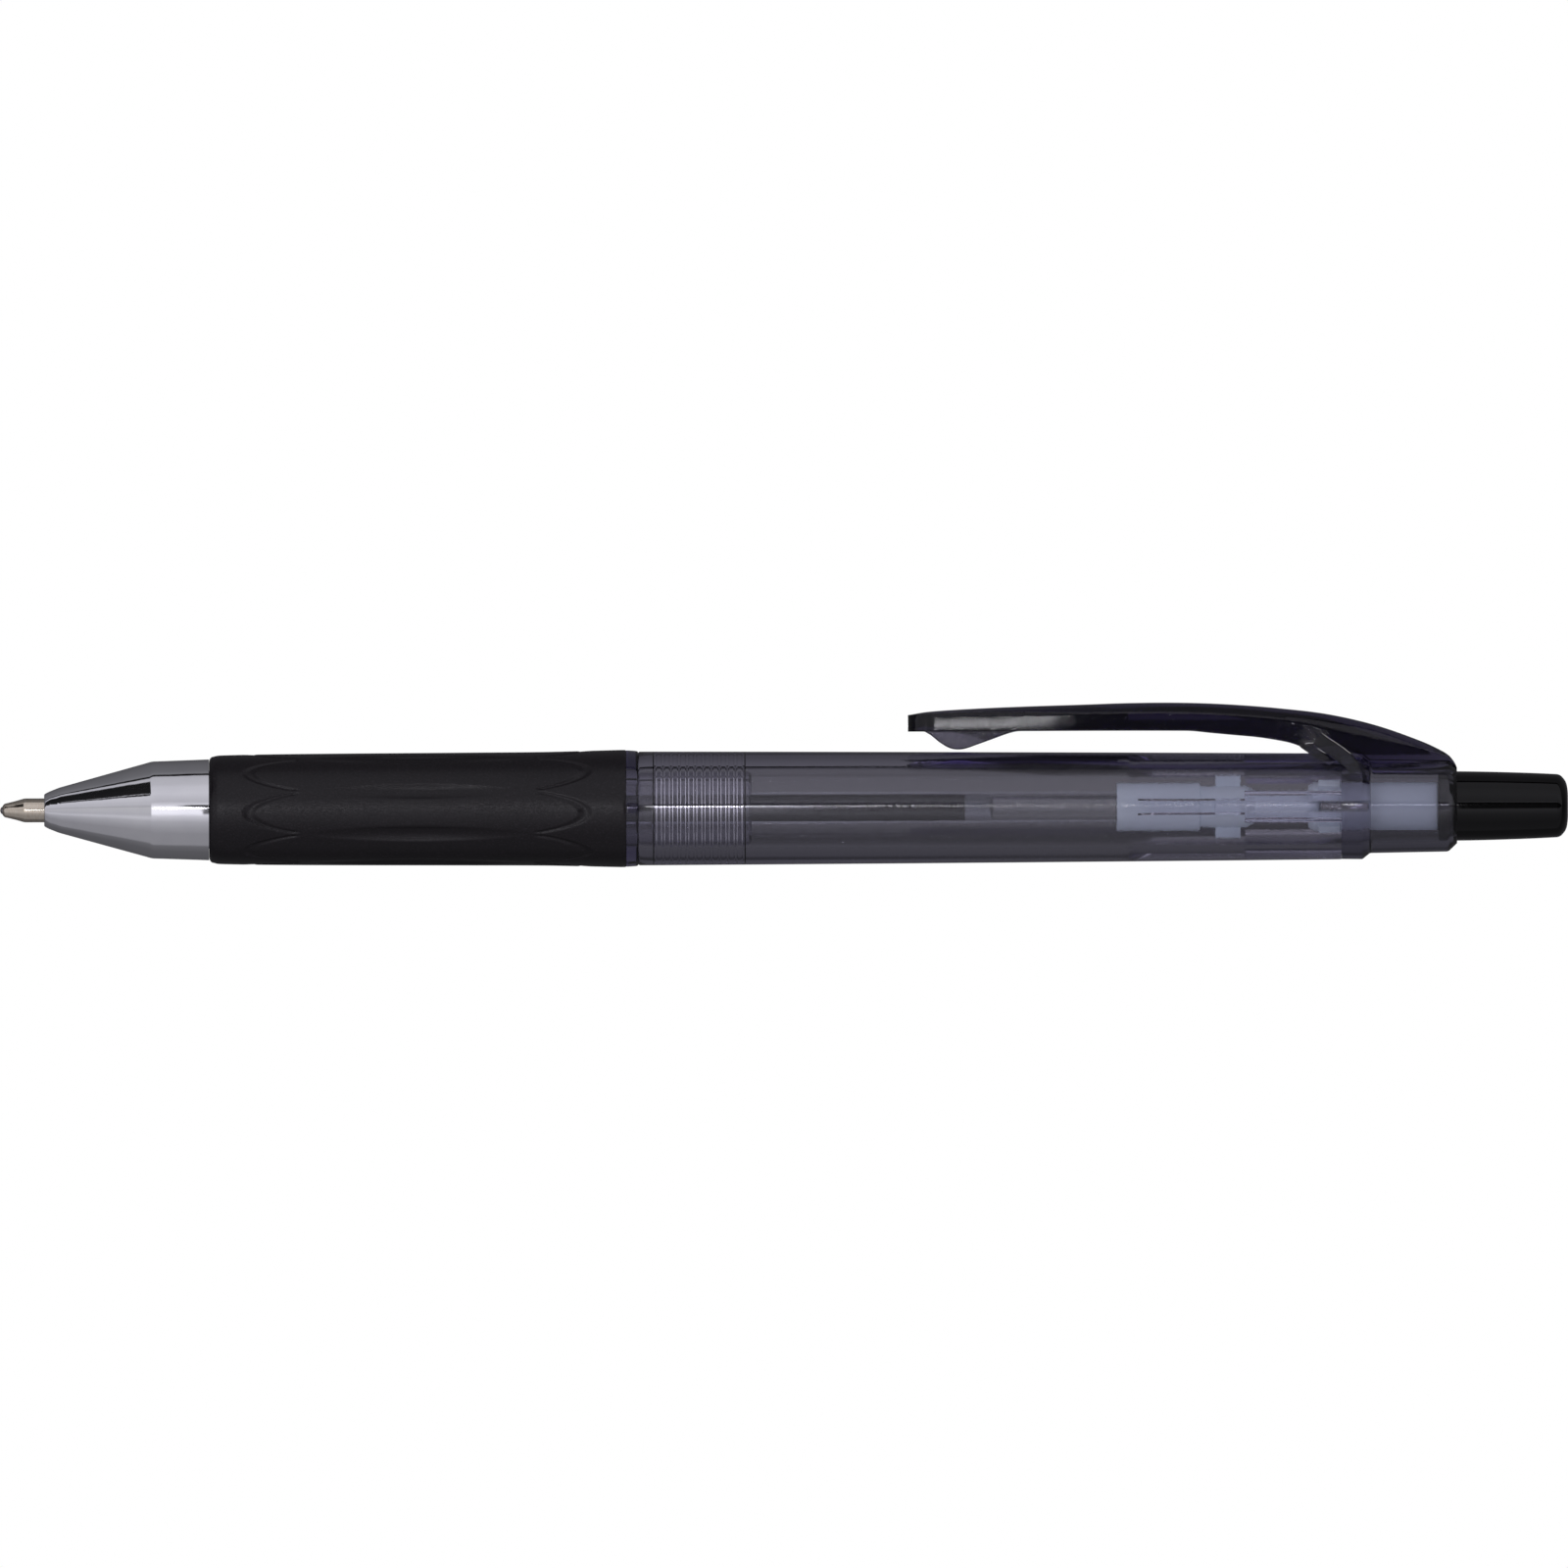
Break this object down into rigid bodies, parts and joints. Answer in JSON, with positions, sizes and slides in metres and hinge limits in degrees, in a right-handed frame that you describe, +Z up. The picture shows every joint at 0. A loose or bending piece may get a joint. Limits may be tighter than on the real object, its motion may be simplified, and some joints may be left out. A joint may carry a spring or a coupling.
{
  "type": "retractable gel pen",
  "caption": "Retractable gel pen with a clear smoky barrel, a fluted rubber grip, a bright metal nose cone, a pocket clip moulded with the rear cap, and a push button.",
  "frame": {"origin": "centre of the bounding box in X and Y, at its lowest point in Z", "axes": "X along the pen, point at -X and button at +X; +Z up through the clip; the barrel's axis lies 5.38 mm above the origin"},
  "size_m": [0.144, 0.0108, 0.0149],
  "materials": {
    "ball_metal": "polished ball",
    "point_metal": "turned nickel silver",
    "holder_plastic": "moulded",
    "tube_plastic": "translucent extruded tube",
    "ink": "dark gel",
    "follower": "clear grease",
    "spring_steel": "drawn wire",
    "nose_metal": "bright plated",
    "smoky_plastic": "clear smoky moulding, polished",
    "grip_rubber": "matte moulded",
    "cap_plastic": "clear smoky moulding, polished",
    "cam_plastic": "moulded white",
    "button_plastic": "glossy black"
  },
  "bodies": {
    "barrel": {"nose_cone": "nose_metal", "front_barrel": "smoky_plastic", "rubber_grip": "grip_rubber", "rear_barrel": "smoky_plastic", "clip_cap": "cap_plastic", "return_spring": "spring_steel"},
    "refill": {"tip_socket": "point_metal", "tip_holder": "holder_plastic", "refill_tube": "tube_plastic", "ink_column": "ink", "ink_follower": "follower"},
    "ball": {"writing_ball": "ball_metal"},
    "rotor": {"rotor_cam": "cam_plastic"},
    "knock": {"button": "button_plastic", "thrust_tube": "cam_plastic"}
  },
  "joints": [
    {"name": "button_press", "type": "slide", "parent": "barrel", "child": "knock", "axis": [1, 0, 0], "range_m": [-0.005, 0], "stiffness_N_per_m": 150, "springref_m": 0.004},
    {"name": "refill_retract", "type": "slide", "parent": "barrel", "child": "refill", "axis": [1, 0, 0], "range_m": [0, 0.0049], "deforming": ["return_spring"]},
    {"name": "rotor_index", "type": "hinge", "parent": "refill", "child": "rotor", "pos_m": [0.037, 0, 0.00538], "axis": [1, 0, 0], "continuous": true},
    {"name": "ball_roll", "type": "hinge", "parent": "refill", "child": "ball", "pos_m": [-0.0716, 0, 0.00538], "axis": [0, 1, 0], "continuous": true}
  ]
}
